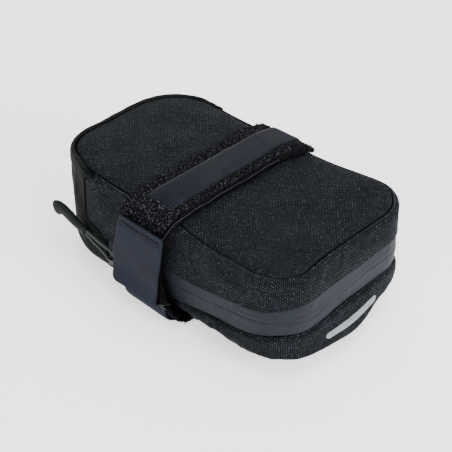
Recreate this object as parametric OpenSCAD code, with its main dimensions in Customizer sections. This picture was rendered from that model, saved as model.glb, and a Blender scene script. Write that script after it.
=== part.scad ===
// Small bicycle saddle bag with a coated zip round its front and a hook-and-loop strap.
// Frame: +X towards the zipped front, +Y towards the right side, +Z up.
// The origin is on the ground, under the middle of the strap.

/* [Body] */
// Front wall, distance from the strap's middle
front_x = 77; // [74:1:95]
// Rear wall, distance from the strap's middle
rear_x = 79; // [74:1:95]
// Width over the side walls
body_w = 92; // [88:1:110]
// Height of the top seam
side_h = 55; // [52:1:62]
// How far the padded top stands above its seam
crown_h = 3; // [2:0.5:4]
// Plan radius of the two front corners
corner_front = 21; // [18:1:30]
// Plan radius of the two rear corners
corner_rear = 30; // [22:1:32]
// Thickness of the padded side walls
wall_t = 2; // [1.6:0.2:2.4]
// Thickness of the padded bottom
floor_t = 4.8; // [4.4:0.2:5.6]
// Height from which the rear panel reaches forward to the zip's end
rear_cut_z = 28; // [24:1:34]
// Where the side gussets meet the rear panel
rear_seam_x = -48; // [-52:1:-44]

/* [Zip] */
// Height of the zip band, both tapes
zip_h = 21; // [18:0.5:22]
// Height of the zip's middle along the front
zip_front_z = 31.6; // [28:0.1:33]
// Slope of the zip along the sides, in degrees
zip_rise = 10; // [6:0.5:10]
// Where the sloping stretch meets the level front
zip_bend_x = 72; // [56:1:74]
// Rear end of the zip
zip_end_x = -36; // [-40:1:-33]
// Gap between the two tapes
slit = 1; // [0.8:0.1:1.4]
// Thickness of the coated tape
tape_t = 1; // [0.8:0.1:1.2]

/* [Strap] */
// Width of the strap
strap_w = 35; // [30:1:38]
// Thickness of the loop band
loop_t = 1.6; // [1.2:0.1:1.6]
// Thickness of the ribbed strip and of the strip under the bag
strip_t = 1; // [0.8:0.1:1]
// Room between the left wall and the strap, for the slider
strap_room = 4.4; // [4.2:0.1:5.2]

/* [Slider and pull] */
// Slider's place along the side when the zip is closed
slider_x = -28; // [-30:0.5:-26]
// Diameter of the pull's cord
cord_d = 1.6; // [1.2:0.1:1.6]
// Thickness of the moulded grip
grip_t = 3.6; // [3:0.1:3.6]
// Height of the moulded grip
grip_w = 5.4; // [4.6:0.1:6]

/* [Hidden] */
$fn = 48;
EPS = 0.01;
CLEAR = 0.1; // between fixed layers that lie on each other
HULL_FN = 32;
TALL = 80; // longer than anything in the bag is high or wide
WIDE = 140;

half_w = body_w / 2;
hinge_x = strap_w / 2 + 2.1; // fold of the front flap, just ahead of the strap
fold_gap = 0.5; // between the fixed and the moving half of what folds
edge_t = 0.6; // thickness of the top panel at its seam
crown_in = 12; // width of the slope round the top panel
channel = [strap_w / 2 + 1, strap_w / 2 + 4.5]; // half-widths of the groove under the bag
floor_z = loop_t + strip_t + 0.2; // top of that groove
strap_turn_room = 1.2; // how much higher the wall is cut, where the strap turns up
board_t = 1.2;
foam_t = 2;
binding_t = 0.9;
binding_h = 5;
coil_in = 0.5 + tape_t; // inset of the coils from the outline
coil_t = 1.8;
coil_h = 2.2;
mark_t = 0.3;
mark_size = [36, 4.4];
mark_z = 10;

bodyfabric = [0.09, 0.1, 0.11];
smoothfabric = [0.12, 0.13, 0.13];
coated = [0.2, 0.22, 0.25];
fuzz = [0.03, 0.03, 0.04];

// ---- Plan outline and the zones that cut it ----

// The bag's outline seen from above, drawn in by inset.
module outline(inset = 0) {
    hy = half_w - inset;
    fx = front_x - inset;
    rx = inset - rear_x;
    rf = corner_front - inset;
    rr = corner_rear - inset;
    for (s = [-1, 1]) {
        translate([fx - rf, s * (hy - rf)]) circle(rf);
        translate([rx + rr, s * (hy - rr)]) circle(rr);
    }
    polygon([
        [rx + rr, -hy], [fx - rf, -hy], [fx, rf - hy], [fx, hy - rf],
        [fx - rf, hy], [rx + rr, hy], [rx, hy - rr], [rx, rr - hy]
    ]);
}

// A wall that follows the outline, between two insets.
module ring(from, to, z0 = 0, z1 = side_h) {
    translate([0, 0, z0]) linear_extrude(z1 - z0) difference() {
        outline(from);
        outline(to);
    }
}

// A prism across the whole width, from a profile given as [x, z] points.
module profile(points, y0 = -WIDE / 2, y1 = WIDE / 2) {
    translate([0, y1, 0]) rotate([90, 0, 0]) linear_extrude(y1 - y0) polygon(points);
}

// Everything behind, or ahead of, the fold of the front flap.
module behind_fold() {
    translate([-2 * WIDE, -WIDE, -TALL]) cube([2 * WIDE + hinge_x - fold_gap / 2, 2 * WIDE, 3 * TALL]);
}

module ahead_of_fold() {
    translate([hinge_x + fold_gap / 2, -WIDE, -TALL]) cube([2 * WIDE, 2 * WIDE, 3 * TALL]);
}

// ---- Lines of the side walls, as heights over x ----

function zip_z(x) = zip_front_z + min(0, x - zip_bend_x) * tan(zip_rise);

// A band of the side wall between two heights over the zip's middle line, from x0 forwards.
function zip_band(low, high, x0) = [
    [x0, zip_z(x0) + low], [zip_bend_x, zip_front_z + low], [WIDE, zip_front_z + low],
    [WIDE, zip_front_z + high], [zip_bend_x, zip_front_z + high], [x0, zip_z(x0) + high]
];

// The underside of the bag, with the groove for the strap.
function underside(z_wide, z_groove) = [
    [-WIDE, z_wide], [-channel[1], z_wide], [-channel[0], z_groove],
    [channel[0], z_groove], [channel[1], z_wide], [WIDE, z_wide]
];

// ---- Rounded paths and ribbons for the strap ----

function unit(v) = v / norm(v);
function left_of(v) = [-v[1], v[0]];

// Arc that rounds corner p between a and b with radius r, as n + 1 points.
function arc(a, p, b, r, n = 6) = let(
    u = unit(a - p), v = unit(b - p), half = acos(u * v) / 2,
    centre = p + unit(u + v) * r / sin(half),
    from = p + u * r / tan(half) - centre,
    turn = cross(from, p + v * r / tan(half) - centre) > 0 ? 1 : -1
) [for (i = [0:n]) let(w = turn * (180 - 2 * half) * i / n)
    centre + [from[0] * cos(w) - from[1] * sin(w), from[0] * sin(w) + from[1] * cos(w)]];

// A path through corners [y, z, radius], where the first and last are its ends.
function rounded(c) = concat(
    [[c[0][0], c[0][1]]],
    [for (i = [1:len(c) - 2]) each arc(
        [c[i - 1][0], c[i - 1][1]], [c[i][0], c[i][1]], [c[i + 1][0], c[i + 1][1]], c[i][2])],
    [[c[len(c) - 1][0], c[len(c) - 1][1]]]
);

// The path moved sideways by d, to its left.
function shifted(p, d) = [for (i = [0:len(p) - 1]) let(
    before = left_of(unit(p[max(i, 1)] - p[max(i, 1) - 1])),
    after = left_of(unit(p[min(i, len(p) - 2) + 1] - p[min(i, len(p) - 2)]))
) p[i] + d * (before + after) / (1 + before * after)];

// The point a share k of the way from a to b.
function along(a, b, k) = [a[0] + k * (b[0] - a[0]), a[1] + k * (b[1] - a[1])];

function reversed(p) = [for (i = [len(p) - 1:-1:0]) p[i]];

// A strip of cloth along path p in the YZ plane, between offsets d0 and d1, from x0 to x1.
module ribbon(p, d0, d1, x0, x1) {
    translate([x0, 0, 0]) rotate([90, 0, 90]) linear_extrude(x1 - x0)
        polygon(concat(shifted(p, d0), reversed(shifted(p, d1))));
}

// Inner face of the strap. It runs from the top's middle to the right, round underneath and back.
strap_top = side_h + crown_h + 2 * CLEAR;
strap_left = -half_w - strap_room;
strap_right = half_w + CLEAR;
strap_low = loop_t + strip_t;
top_turn = [half_w - crown_in, strap_top, 30];
right_shoulder = [strap_right, side_h + edge_t + 0.3, 0.7];
right_foot = [strap_right, strap_low, 1];
left_foot = [strap_left, strap_low, 8];
left_shoulder = [strap_left, side_h - 8.5, 10];
left_brow = [0.4 - half_w - 0.8, side_h + 1.2, 3];
left_turn = [crown_in - half_w, strap_top, 30];

strap_ring = rounded([
    [0.5, strap_top], top_turn, right_shoulder, right_foot, left_foot,
    left_shoulder, left_brow, left_turn, [-0.5, strap_top]
]);
ribbed_run = rounded([[-40, strap_top - 1], left_turn, top_turn, right_shoulder, [strap_right, 26]]);
under_run = rounded([[strap_right, 9], right_foot, left_foot, [strap_left, 11.2]]);
tab_low_z = 9;
tab_fold_z = 45;
tab_run = rounded([
    [strap_left - 1.8, tab_low_z], [strap_left, 17, 20], left_shoulder, along(left_shoulder, left_brow, 0.45)
]);

// Seen from the side, the strap narrows where it hangs and leans back a little.
module strap_shape() {
    h = strap_w / 2;
    profile([
        [-h, -EPS], [-h - 1, 12], [-h - 1, 46], [-h, 53], [-h, TALL],
        [h, TALL], [h, 54], [h - 6, 46], [h - 7, 28], [h - 5, 12], [h + 1, -EPS]
    ]);
}

// The tab's outline seen from the side, narrower at its sewn top, with rounded lower corners.
module tab_shape(z0, z1) {
    intersection() {
        profile(concat(
            [[-14, side_h], [-17.5, tab_fold_z]],
            arc([-17.5, tab_fold_z], [-19.8, tab_low_z], [9, tab_low_z], 6),
            arc([-19.8, tab_low_z], [9.5, tab_low_z], [11, tab_fold_z], 2.5),
            [[11, tab_fold_z], [10.5, side_h]]
        ));
        translate([-WIDE, -WIDE, z0]) cube([2 * WIDE, 2 * WIDE, z1 - z0]);
    }
}

// ---- Body panels ----

module bottom_panel() color(bodyfabric) intersection() {
    linear_extrude(floor_t) outline(wall_t);
    profile(concat(underside(0, floor_z), [[WIDE, floor_t], [-WIDE, floor_t]]));
}

module bottom_board() color("dimgray")
    translate([0, 0, floor_t]) linear_extrude(board_t) outline(wall_t + CLEAR);

// The wall below the zip, from the rear panel's seam round the front.
module lower_gusset() color(bodyfabric) intersection() {
    ring(0, wall_t);
    profile(concat(
        underside(0, floor_z + strap_turn_room),
        reversed([
            [zip_end_x, zip_z(zip_end_x) - zip_h / 2],
            [zip_bend_x, zip_front_z - zip_h / 2], [WIDE, zip_front_z - zip_h / 2]
        ])
    ));
    translate([zip_end_x, -WIDE, -EPS]) cube([2 * WIDE, 2 * WIDE, TALL]);
}

// Line of the seam between the side gussets and the rear panel.
rear_seam = [
    [rear_seam_x, TALL], [rear_seam_x, rear_cut_z],
    [zip_end_x, zip_z(zip_end_x) + zip_h / 2], [zip_end_x, -EPS]
];

module rear_panel() color(smoothfabric) intersection() {
    ring(0, wall_t);
    profile(concat([[-WIDE, -EPS], [-WIDE, TALL]], rear_seam));
}

// The wall above the zip. Its rear stretch is fixed and its front stretch moves with the flap.
module upper_gusset() intersection() {
    ring(0, wall_t);
    profile(concat(
        [for (i = [0:2]) rear_seam[i]],
        [[zip_bend_x, zip_front_z + zip_h / 2], [WIDE, zip_front_z + zip_h / 2], [WIDE, TALL]]
    ));
}

module side_gusset_rear() color(bodyfabric) intersection() {
    upper_gusset();
    behind_fold();
}

module front_gusset_upper() color(bodyfabric) intersection() {
    upper_gusset();
    ahead_of_fold();
}

// Padded top, thin at its seam and full height inside it.
module top_panel() hull() {
    translate([0, 0, side_h]) linear_extrude(edge_t) outline($fn = HULL_FN);
    translate([0, 0, side_h + crown_h - EPS]) linear_extrude(EPS) outline(crown_in, $fn = HULL_FN);
}

module top_panel_rear() color(bodyfabric) intersection() {
    top_panel();
    behind_fold();
}

module top_panel_front() color(bodyfabric) intersection() {
    top_panel();
    ahead_of_fold();
}

module top_foam() translate([0, 0, side_h - foam_t]) linear_extrude(foam_t) outline(wall_t + CLEAR);

module top_foam_rear() color("gray") intersection() {
    top_foam();
    behind_fold();
}

module top_foam_front() color("gray") intersection() {
    top_foam();
    ahead_of_fold();
}

// Tape that binds the raw edges inside the top seam.
module binding_top() ring(wall_t + CLEAR, wall_t + binding_t, side_h - foam_t - binding_h, side_h - foam_t);

module binding_top_rear() color("black") intersection() {
    binding_top();
    behind_fold();
}

module binding_top_front() color("black") intersection() {
    binding_top();
    ahead_of_fold();
}

// Tape that binds the raw edges above the board. It stops where the zip comes low.
module binding_bottom() color("black") intersection() {
    ring(wall_t + CLEAR, wall_t + binding_t, floor_t + board_t, floor_t + board_t + binding_h);
    translate([hinge_x, -WIDE, 0]) cube([2 * WIDE, 2 * WIDE, TALL]);
}

// Plain reflective bar printed on the front.
module reflective_mark() color("silver")
    translate([front_x, -mark_size[0] / 2 + 1, mark_z - mark_size[1] / 2])
        cube([mark_t, mark_size[0], mark_size[1]]);

// ---- Zip ----

module tape(low, high) intersection() {
    ring(0.5, 0.5 + tape_t);
    profile(zip_band(low, high, zip_end_x + CLEAR));
}

module coil(low, high) intersection() {
    ring(coil_in, coil_in + coil_t);
    profile(zip_band(low, high, zip_end_x + 3));
}

module zip_tape_lower() color(coated) tape(-zip_h / 2, -slit / 2);

module zip_tape_upper_rear() color(coated) intersection() {
    tape(slit / 2, zip_h / 2);
    behind_fold();
}

module zip_tape_upper_front() color(coated) intersection() {
    tape(slit / 2, zip_h / 2);
    ahead_of_fold();
}

module zip_coil_lower() color("black") coil(-slit / 2 - coil_h, -slit / 2);

module zip_coil_upper_rear() color("black") intersection() {
    coil(slit / 2, slit / 2 + coil_h);
    behind_fold();
}

module zip_coil_upper_front() color("black") intersection() {
    coil(slit / 2, slit / 2 + coil_h);
    ahead_of_fold();
}

// A staple at each end of the zip, across both coils.
module zip_stops() color("dimgray") intersection() {
    ring(coil_in, coil_in + coil_t);
    profile([
        [zip_end_x + 1, zip_z(zip_end_x) - 3], [zip_end_x + 2.6, zip_z(zip_end_x) - 3],
        [zip_end_x + 2.6, zip_z(zip_end_x) + 3.4], [zip_end_x + 1, zip_z(zip_end_x) + 3.4]
    ]);
}

// ---- Slider and pull ----

plate_t = 1;
plate_l = 10;
plate_w = 9;
window = cord_d + 0.3; // room under the bridge for the cord
bar_t = 0.9;
slider_face = -half_w - 0.15; // outer plate's inner side
inner_face = -half_w + coil_in + coil_t + 0.2; // inner plate's side towards the coils
pull_y = slider_face - plate_t - window / 2;

// Places a piece drawn along the zip, with its origin on the zip's middle line at the slider.
module at_slider() translate([slider_x, 0, zip_z(slider_x)]) rotate([0, -zip_rise, 0]) children();

// Shield outline of a plate: wide where the coils part, narrow where they are joined.
module plate(y) translate([0, y + plate_t, 0]) rotate([90, 0, 0]) linear_extrude(plate_t) polygon([
    [-plate_l / 2, -plate_w / 2 + 2], [-plate_l / 2 + 1.5, -plate_w / 2 + 1], [plate_l / 2 - 2, -plate_w / 2],
    [plate_l / 2, -plate_w / 2 + 1.5], [plate_l / 2, plate_w / 2 - 1.5], [plate_l / 2 - 2, plate_w / 2],
    [-plate_l / 2 + 1.5, plate_w / 2 - 1], [-plate_l / 2, plate_w / 2 - 2]
]);

module slider_body() color("#222222") at_slider() {
    neck = 0.6;
    plate(slider_face - plate_t);
    plate(inner_face);
    translate([-1, slider_face - EPS, -neck / 2])
        cube([plate_l / 2, inner_face - slider_face + 2 * EPS, neck]);
}

// Arch over the outer plate, open up and down, which holds the cord.
module slider_bridge() color("#222222") at_slider() {
    foot = 1.2;
    span = 3.4;
    wide = 3;
    y0 = slider_face - plate_t - window - bar_t;
    for (x = [-span / 2 - foot, span / 2])
        translate([x, y0, -wide / 2]) cube([foot, window + bar_t, wide]);
    translate([-span / 2 - foot + EPS, y0, -wide / 2]) cube([span + 2 * foot - 2 * EPS, bar_t, wide]);
}

// Round tube along points p of the plane at y, as one closed mesh with n sides.
module tube(p, y, d, n = 10) {
    last = len(p) - 1;
    rings = [for (i = [0:last]) let(
        before = unit(p[max(i, 1)] - p[max(i, 1) - 1]),
        after = unit(p[min(i, last - 1) + 1] - p[min(i, last - 1)]),
        side = left_of(unit(before + after))
    ) [for (k = [0:n - 1]) let(w = 360 * k / n, s = d / 2 * cos(w))
        [p[i][0] + side[0] * s, y + d / 2 * sin(w), p[i][1] + side[1] * s]]];
    polyhedron(
        points = [for (r = rings) each r],
        faces = concat(
            [[for (k = [0:n - 1]) k]],
            [for (i = [0:last - 1], k = [0:n - 1])
                [i * n + k, (i + 1) * n + k, (i + 1) * n + (k + 1) % n, i * n + (k + 1) % n]],
            [[for (k = [n - 1:-1:0]) last * n + k]]
        )
    );
}

// The cord's doubled end goes through the bridge and both strands run back to the grip.
pull_at = [slider_x, zip_z(slider_x)];
grip_mouth = pull_at + [-21, 8];
strand_gap = 1.2;
cord_route = let(s = left_of(unit(pull_at - grip_mouth)) * strand_gap) rounded([
    concat(grip_mouth - s, 0), concat(pull_at + [-4, 0] - 2 * s, 6), concat(pull_at + [0, -3.2], 1.5),
    concat(pull_at + [0, 3.2], 1.5), concat(pull_at + [-4, 2.5] + 2 * s, 6), concat(grip_mouth + s, 0)
]);

module pull_cord() color("#1c1e20") tube(cord_route, pull_y, cord_d);

// Moulded end of the pull: a flat bent finger with a round tip.
grip_line = rounded([
    concat(grip_mouth, 0), concat(grip_mouth + [-11, 4], 25), concat(grip_mouth + [-18, 9], 7),
    concat(grip_mouth + [-24, 5.5], 0)
]);

module pull_grip() color("#24282a") {
    tip = grip_line[len(grip_line) - 1];
    ahead = unit(tip - grip_line[len(grip_line) - 2]);
    round_tip = [for (w = [15:15:165]) tip + grip_w / 2 * (cos(w) * left_of(ahead) + sin(w) * ahead)];
    translate([0, pull_y + grip_t / 2, 0]) rotate([90, 0, 0]) linear_extrude(grip_t) polygon(concat(
        shifted(grip_line, grip_w / 2), round_tip, reversed(shifted(grip_line, -grip_w / 2))
    ));
}

// ---- Strap ----

// Band with loops on its outer side, sewn to the top and wrapped right round the bag.
module strap_loop_band() color(fuzz) intersection() {
    ribbon(strap_ring, 0, loop_t, -strap_w, strap_w);
    strap_shape();
}

// Ribbed strip along the band, which grips the saddle rails.
module strap_grip_strip() color(coated) ribbon(ribbed_run, loop_t, loop_t + strip_t, -10, 7.3);

// Coated strip that keeps the band off the ground.
module strap_underlay() color(coated) ribbon(under_run, loop_t, loop_t + strip_t, -16, 13);

// Sewn top edge of the pull tab.
module tab_hem() color(coated) intersection() {
    ribbon(tab_run, loop_t, loop_t + 0.7 + strip_t, -WIDE, WIDE);
    tab_shape(tab_fold_z + 0.3, side_h);
}

module tab_layer(d0, d1) intersection() {
    ribbon(tab_run, d0, d1, -WIDE, WIDE);
    tab_shape(tab_low_z, tab_fold_z);
}

// Coated outer face of the tab, below the row of stitches that it folds at.
module tab_face() color(coated) tab_layer(loop_t + 0.7, loop_t + 0.7 + strip_t);

// Hook tape on the tab's inner side.
module tab_hook() color(fuzz) tab_layer(loop_t + CLEAR, loop_t + 0.7);

bottom_panel();
bottom_board();
lower_gusset();
rear_panel();
side_gusset_rear();
top_panel_rear();
top_foam_rear();
top_panel_front();
top_foam_front();
front_gusset_upper();
binding_top_rear();
binding_top_front();
binding_bottom();
zip_tape_lower();
zip_tape_upper_rear();
zip_tape_upper_front();
zip_coil_lower();
zip_coil_upper_rear();
zip_coil_upper_front();
zip_stops();
slider_body();
slider_bridge();
pull_cord();
pull_grip();
strap_loop_band();
strap_grip_strip();
strap_underlay();
tab_hem();
tab_face();
tab_hook();
reflective_mark();
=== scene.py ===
"""Looks of a small bicycle saddle bag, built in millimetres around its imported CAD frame."""

import math

import bmesh
import bpy
import numpy as np
from mathutils import Matrix, Vector


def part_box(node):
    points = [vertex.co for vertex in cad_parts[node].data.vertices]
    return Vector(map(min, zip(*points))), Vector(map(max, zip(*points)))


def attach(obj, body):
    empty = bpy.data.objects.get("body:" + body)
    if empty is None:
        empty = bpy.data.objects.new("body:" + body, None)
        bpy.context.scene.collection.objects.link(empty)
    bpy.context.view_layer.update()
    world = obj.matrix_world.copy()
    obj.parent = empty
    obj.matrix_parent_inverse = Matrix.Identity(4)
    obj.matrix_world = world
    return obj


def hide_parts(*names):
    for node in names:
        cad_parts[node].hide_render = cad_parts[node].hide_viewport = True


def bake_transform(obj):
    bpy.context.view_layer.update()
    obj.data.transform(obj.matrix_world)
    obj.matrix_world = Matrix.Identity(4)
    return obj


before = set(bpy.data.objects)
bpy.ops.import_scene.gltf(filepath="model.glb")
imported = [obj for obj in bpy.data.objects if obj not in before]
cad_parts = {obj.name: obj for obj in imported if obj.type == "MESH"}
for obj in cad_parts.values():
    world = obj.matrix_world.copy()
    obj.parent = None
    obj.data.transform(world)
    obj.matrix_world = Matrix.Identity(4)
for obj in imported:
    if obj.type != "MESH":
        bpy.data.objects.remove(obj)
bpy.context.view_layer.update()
scene = bpy.context.scene
MM = 0.001


def corners(node):
    """A CAD node's lowest and highest corner, in millimetres."""
    low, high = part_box(node)
    return np.array(low) / MM, np.array(high) / MM


# ---- Sizes read from the frame ----

rear_low, rear_high = corners("rear_panel")
flap_low, flap_high = corners("top_panel_front")
front_high = corners("front_gusset_upper")[1]
gusset_high = corners("lower_gusset")[1]
tape_low, tape_high = corners("zip_tape_lower")
band_low, band_high = corners("strap_loop_band")
strip_low, strip_high = corners("strap_grip_strip")
under_low, under_high = corners("strap_underlay")
tab_low, tab_high = corners("tab_face")
hem_high = corners("tab_hem")[1]
cord_low, cord_high = corners("pull_cord")
grip_low, grip_high = corners("pull_grip")
slider_low, slider_high = corners("slider_body")
mark_low, mark_high = corners("reflective_mark")
board_high = corners("bottom_board")[1]

HALF_W = rear_high[1]
FRONT_X = front_high[0]
REAR_X = rear_low[0]
SEAM_Z = rear_high[2]
CROWN_Z = flap_high[2]
ZIP_END_X = tape_low[0]
RADIUS_FRONT = 21.0
RADIUS_REAR = 30.0
EDGE_R = 10.0  # rounding between the walls and the bottom

ZIP_RISE = math.tan(math.radians(10))  # the zip climbs towards the front
ZIP_BEND_X = 72.0  # and is level from here on
SLIT = 1.0
ZIP_FRONT_Z = tape_high[2] + SLIT / 2
ZIP_HALF = ZIP_FRONT_Z - gusset_high[2]


def smooth(a, b, x):
    """0 below a, 1 above b, and a soft step between."""
    t = np.clip((np.asarray(x, float) - a) / (b - a), 0, 1)
    return t * t * (3 - 2 * t)


def hump(x, width):
    """1 at x = 0, falling to nothing over about two widths."""
    return np.exp(-((np.asarray(x, float) / width) ** 2))


def spot(x, y, at, size):
    """1 at a place seen from above, falling to nothing over about two sizes."""
    return np.exp(-((x - at[0]) ** 2 + (y - at[1]) ** 2) / (2 * size ** 2))


def ripple(points, size, seed):
    """Soft irregular waves of about that size, with a spread of about 1."""
    own = np.random.default_rng(seed)
    waves = 16
    total = np.zeros(points.shape[:-1])
    for _ in range(waves):
        way = own.normal(size=3)
        way /= np.linalg.norm(way)
        k = 2 * math.pi / (size * own.uniform(0.6, 1.7))
        total += np.sin(points @ way * k + own.uniform(0, 2 * math.pi))
    return total / math.sqrt(waves / 2)


def lengths(path):
    """Length along a path at each of its points."""
    return np.concatenate([[0], np.cumsum(np.linalg.norm(np.diff(path, axis=0), axis=1))])


def stacked(*parts):
    """Coordinates joined to points, or lengths joined to a cloth's map. Each may be a row or a column."""
    return np.stack(np.broadcast_arrays(*parts), axis=-1)


# ---- The bag's outline and wall ----


def outline_table():
    """Points, outward normals and arc length of the outline, from the rear's middle by the left side."""
    step = 0.2
    path = []

    def straight(a, b, normal):
        n = max(2, int(math.dist(a, b) / step))
        for t in np.linspace(0, 1, n, endpoint=False):
            path.append((a[0] + t * (b[0] - a[0]), a[1] + t * (b[1] - a[1]), *normal))

    def bend(cx, cy, r, start):
        n = int(math.pi / 2 * r / step)
        for w in np.linspace(start, start + math.pi / 2, n, endpoint=False):
            path.append((cx + r * math.cos(w), cy + r * math.sin(w), math.cos(w), math.sin(w)))

    rx, fx = REAR_X + RADIUS_REAR, FRONT_X - RADIUS_FRONT
    ry, fy = HALF_W - RADIUS_REAR, HALF_W - RADIUS_FRONT
    straight((REAR_X, 0), (REAR_X, -ry), (-1, 0))
    bend(rx, -ry, RADIUS_REAR, math.pi)
    straight((rx, -HALF_W), (fx, -HALF_W), (0, -1))
    bend(fx, -fy, RADIUS_FRONT, 1.5 * math.pi)
    straight((FRONT_X, -fy), (FRONT_X, fy), (1, 0))
    bend(fx, fy, RADIUS_FRONT, 0)
    straight((fx, HALF_W), (rx, HALF_W), (0, 1))
    bend(rx, ry, RADIUS_REAR, math.pi / 2)
    straight((REAR_X, ry), (REAR_X, 0), (-1, 0))
    table = np.array(path + path[:1])
    return table, lengths(table[:, :2])


OUTLINE, ALONG = outline_table()
ROUND = ALONG[-1]


def outline(s):
    """x, y and the normal's x, y at arc length s."""
    s = np.mod(s, ROUND)
    x, y, nx, ny = (np.interp(s, ALONG, OUTLINE[:, k]) for k in range(4))
    length = np.hypot(nx, ny)
    return x, y, nx / length, ny / length


def left_s(x):
    """Arc length where the straight left side has that x."""
    corner = HALF_W - RADIUS_REAR + math.pi / 2 * RADIUS_REAR
    return corner + np.asarray(x, float) - (REAR_X + RADIUS_REAR)


def profile(p):
    """How far out, how high, and the normal, at length p up the wall from its turn under the bag."""
    w = np.minimum(p / EDGE_R, math.pi / 2)
    out = EDGE_R * (np.sin(w) - 1)
    z = EDGE_R * (1 - np.cos(w)) + np.maximum(p - EDGE_R * math.pi / 2, 0)
    return out, z, np.sin(w), -np.cos(w)


def up_to(z):
    """Length up the wall to height z."""
    z = np.asarray(z, float)
    low = EDGE_R * np.arccos(np.clip(1 - z / EDGE_R, -1, 1))
    return np.where(z < EDGE_R, low, EDGE_R * math.pi / 2 + z - EDGE_R)


def channel(x, z):
    """How far the bottom is pushed up over the strap."""
    half, rise = band_high[0] + 1.0, 2.8
    return rise * (1 - smooth(half, half + 5, np.abs(x))) * (1 - smooth(1.5, 8, z))


def settle(points):
    """Moves points of the plain shape to where the worn and stuffed bag has them in the photo."""
    x, y, z = points[..., 0], points[..., 1], points[..., 2]
    ahead = smooth(22, 62, x)
    behind = smooth(-30, -70, x)

    # the right front corner is fuller, and the right side beside it
    by_height = 0.58 + 0.46 * smooth(46, 55, z) + 0.35 * hump(z - 26, 8) - 1.2 * (1 - smooth(1, 15, z))
    corner = spot(x, y, (66, 36), 17.0) * by_height
    side = ahead * smooth(10, 44, y) * (1 - smooth(60, 75, x)) * (1 + smooth(44, 54, z))
    belly = 2.3 * smooth(50, 76, x) * hump(y + 2, 22) * smooth(0, 3, z) * (1 - smooth(9, 24, z))

    # the left wall leans in, and both ends sway a little to the right at the top
    lean = 1.5 * smooth(31, 54, z) * smooth(-24, -44, y)
    sway = 0.6 * ahead * smooth(35, 55, z) + 0.9 * behind * smooth(30, 55, z)

    # the front is raised off the floor, and its zip runs higher on the right
    lift = 4.5 * smooth(0, 46, x) * (1 - smooth(2, 24, z)) * smooth(16, -36, y)
    lift = lift + 8.0 * spot(x, y, (74, 36), 18.7083) * (1 - smooth(2, 20, z))
    lift = lift + 3.8 * smooth(52, 74, x) * smooth(-32, 34, y) * smooth(4, 22, z) * (1 - smooth(36, 56, z))
    lift = lift + 1.1 * smooth(-24, -70, x) * smooth(40, 55, z)
    lift = lift - 1.7 * smooth(40, 55, z) * smooth(-12, -42, y) * smooth(12, 34, x)

    # the rear's top stands out further, and its left corner is pressed in below it
    rear = smooth(-48, -76, x) * smooth(34, 54, z)
    heel = spot(x, y, (-66, -34), 15.0) * hump(z - 29, 16)
    tip = spot(x, y, (-70, -38), 7.0) * smooth(45, 54, z)
    nape = spot(x, y, (-78, -14), 9.0) * smooth(45, 54, z)

    press = 0.7 * heel - 0.6 * tip
    along = 2.1 * corner - 1.6 * rear + belly + press + 1.2 * nape
    across = 1.9 * corner + 1.2 * side + lean + sway + press
    return stacked(x + along, y + across, z + lift)


def wall(s, p, out):
    """A point of the stuffed wall: arc length s round it, length p up it, and out outside it."""
    x, y, nx, ny = outline(s)
    inset, z, along_out, along_up = profile(p)
    front_bow = 2.7 + 2.6 * (1 - smooth(4, 20, z)) * (1 - 0.9 * smooth(-2, 28, y))
    rear_bow = 1.2
    bow = front_bow * np.maximum(nx, 0) ** 2 + rear_bow * np.maximum(-nx, 0) ** 2
    reach = inset + out * along_out + bow * smooth(0, EDGE_R, z) * (1 - smooth(SEAM_Z - 16, SEAM_Z, z))
    z = z + out * along_up
    x, y = x + nx * reach, y + ny * reach
    return settle(stacked(x, y, z + channel(x, z)))


def zip_z(x):
    """Height of the zip's middle line."""
    return ZIP_FRONT_Z + np.minimum(0, x - ZIP_BEND_X) * ZIP_RISE


def slit_z(x):
    """Height of the slit, which hangs a little below the zip's line on the left."""
    return zip_z(x) - 0.4 * smooth(0, 30, x) * smooth(54, 32, x)


def lower_edge(s):
    """Height of the lower wall's top edge, which rises over the tape towards the right front corner."""
    x, y, _, _ = outline(s)
    rise = 1.7 * smooth(46, 72, x) + (0.6 * hump(y + 30, 12) - 1.3 * smooth(-8, 14, y)) * smooth(54, 74, x)
    return zip_z(x) - ZIP_HALF - 0.3 + rise


def rear_seam_x(z):
    """Where the rear panel's seam stands on the side, at height z."""
    back = -15.3 * smooth(20, 31, z)
    top = 6.0 * smooth(SEAM_Z - 6.5, SEAM_Z - 0.5, z) ** 2
    return ZIP_END_X + back + top


# ---- Meshes ----


def new_object(name, vertices, faces, uv=None, materials=(), slots=None):
    """A smooth-shaded object from millimetre vertices. uv holds one pair per vertex, in millimetres."""
    mesh = bpy.data.meshes.new(name)
    mesh.from_pydata((np.asarray(vertices) * MM).tolist(), [], faces)
    mesh.polygons.foreach_set("use_smooth", [True] * len(mesh.polygons))
    if uv is not None:
        layer = mesh.uv_layers.new(name="cloth")
        corner = np.zeros(len(mesh.loops), int)
        mesh.loops.foreach_get("vertex_index", corner)
        layer.data.foreach_set("uv", np.asarray(uv, float)[corner].ravel())
    for material in materials:
        mesh.materials.append(material)
    if slots is not None:
        mesh.polygons.foreach_set("material_index", slots)
    mesh.update()
    piece = bpy.data.objects.new(name, mesh)
    scene.collection.objects.link(piece)
    return piece


def quads(number):
    """Faces between neighbouring places of a grid of vertex numbers."""
    places = (number[:-1, :-1], number[1:, :-1], number[1:, 1:], number[:-1, 1:])
    return np.stack(places, axis=-1).reshape(-1, 4)


def tube_quads(rings, sides):
    """Outward faces of a tube whose vertices are numbered ring by ring."""
    number = np.arange(rings * sides).reshape(rings, sides)
    return quads(np.concatenate([number, number[:, :1]], axis=1))[:, [0, 3, 2, 1]]


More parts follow.
